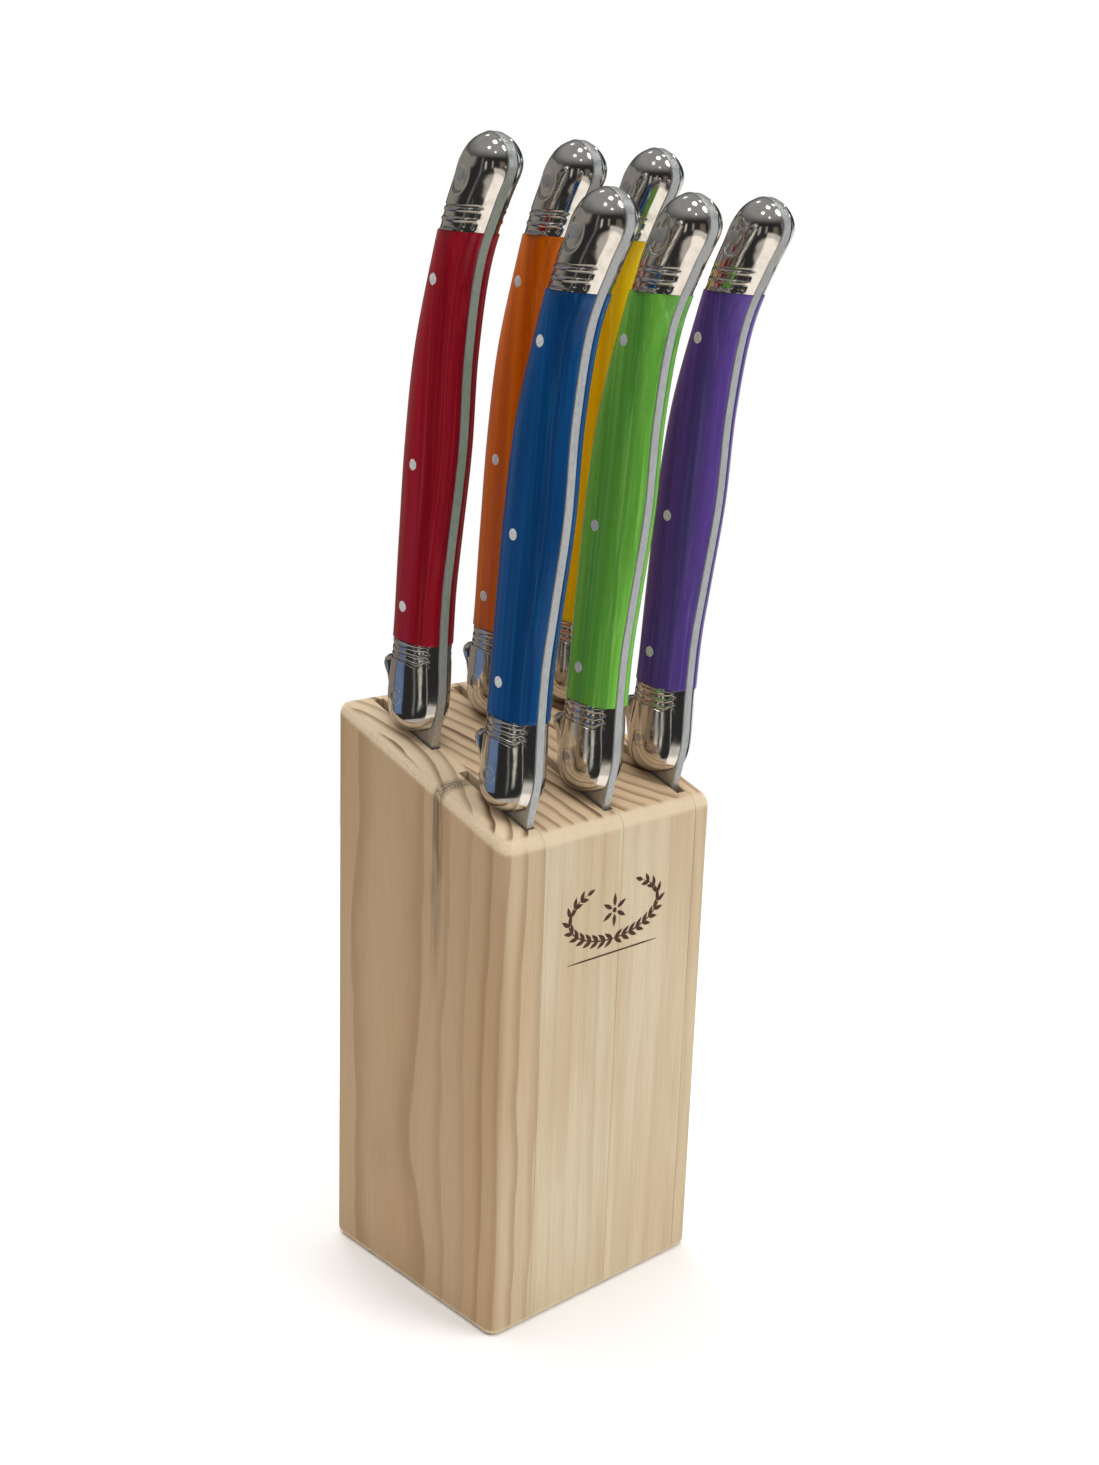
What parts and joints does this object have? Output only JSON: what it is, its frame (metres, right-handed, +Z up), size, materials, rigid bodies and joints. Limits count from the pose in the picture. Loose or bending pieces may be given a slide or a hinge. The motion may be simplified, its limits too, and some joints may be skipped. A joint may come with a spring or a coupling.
{
  "type": "knife block with knives",
  "caption": "Sloped-top laminated pine block holding steak knives with curved, coloured two-scale handles, steel bolsters and rounded steel butts; each knife slides out.",
  "frame": {"origin": "centre of the block's flat underside, where it rests", "axes": "+Z up; -Y is the low front of the block, towards which the knives lean and their cutting edges face; +X is to the right seen from the front"},
  "size_m": [0.0618, 0.0764, 0.2501],
  "materials": {
    "pine": "sanded, unvarnished",
    "blade_steel": "satin",
    "polished_steel": "mirror polished",
    "red_plastic": "glossy, finely streaked lengthwise",
    "orange_plastic": "glossy, finely streaked lengthwise",
    "yellow_plastic": "glossy, finely streaked lengthwise",
    "blue_plastic": "glossy, finely streaked lengthwise",
    "green_plastic": "glossy, finely streaked lengthwise",
    "purple_plastic": "glossy, finely streaked lengthwise"
  },
  "bodies": {
    "block": {"board_1": "pine", "board_2": "pine", "board_3": "pine", "board_4": "pine"},
    "knife_red": {"red_blade_and_tang": "blade_steel", "red_scale_left": "red_plastic", "red_bolster_left": "polished_steel", "red_cap_left": "polished_steel", "red_scale_right": "red_plastic", "red_bolster_right": "polished_steel", "red_cap_right": "polished_steel", "red_bolster_pin": "polished_steel", "red_cap_pin": "polished_steel"},
    "knife_orange": {"orange_blade_and_tang": "blade_steel", "orange_scale_left": "orange_plastic", "orange_bolster_left": "polished_steel", "orange_cap_left": "polished_steel", "orange_scale_right": "orange_plastic", "orange_bolster_right": "polished_steel", "orange_cap_right": "polished_steel", "orange_bolster_pin": "polished_steel", "orange_cap_pin": "polished_steel"},
    "knife_yellow": {"yellow_blade_and_tang": "blade_steel", "yellow_scale_left": "yellow_plastic", "yellow_bolster_left": "polished_steel", "yellow_cap_left": "polished_steel", "yellow_scale_right": "yellow_plastic", "yellow_bolster_right": "polished_steel", "yellow_cap_right": "polished_steel", "yellow_bolster_pin": "polished_steel", "yellow_cap_pin": "polished_steel"},
    "knife_blue": {"blue_blade_and_tang": "blade_steel", "blue_scale_left": "blue_plastic", "blue_bolster_left": "polished_steel", "blue_cap_left": "polished_steel", "blue_scale_right": "blue_plastic", "blue_bolster_right": "polished_steel", "blue_cap_right": "polished_steel", "blue_bolster_pin": "polished_steel", "blue_cap_pin": "polished_steel"},
    "knife_green": {"green_blade_and_tang": "blade_steel", "green_scale_left": "green_plastic", "green_bolster_left": "polished_steel", "green_cap_left": "polished_steel", "green_scale_right": "green_plastic", "green_bolster_right": "polished_steel", "green_cap_right": "polished_steel", "green_bolster_pin": "polished_steel", "green_cap_pin": "polished_steel"},
    "knife_purple": {"purple_blade_and_tang": "blade_steel", "purple_scale_left": "purple_plastic", "purple_bolster_left": "polished_steel", "purple_cap_left": "polished_steel", "purple_scale_right": "purple_plastic", "purple_bolster_right": "polished_steel", "purple_cap_right": "polished_steel", "purple_bolster_pin": "polished_steel", "purple_cap_pin": "polished_steel"}
  },
  "joints": [
    {"name": "red_slide", "type": "slide", "parent": "block", "child": "knife_red", "axis": [0, -0.0698, 0.9976], "range_m": [0, 0.112]},
    {"name": "orange_slide", "type": "slide", "parent": "block", "child": "knife_orange", "axis": [0, -0.0698, 0.9976], "range_m": [0, 0.112]},
    {"name": "yellow_slide", "type": "slide", "parent": "block", "child": "knife_yellow", "axis": [0, -0.0698, 0.9976], "range_m": [0, 0.112]},
    {"name": "blue_slide", "type": "slide", "parent": "block", "child": "knife_blue", "axis": [0, -0.0802, 0.9968], "range_m": [0, 0.112]},
    {"name": "green_slide", "type": "slide", "parent": "block", "child": "knife_green", "axis": [0, -0.0802, 0.9968], "range_m": [0, 0.112]},
    {"name": "purple_slide", "type": "slide", "parent": "block", "child": "knife_purple", "axis": [0, -0.0802, 0.9968], "range_m": [0, 0.112]}
  ]
}
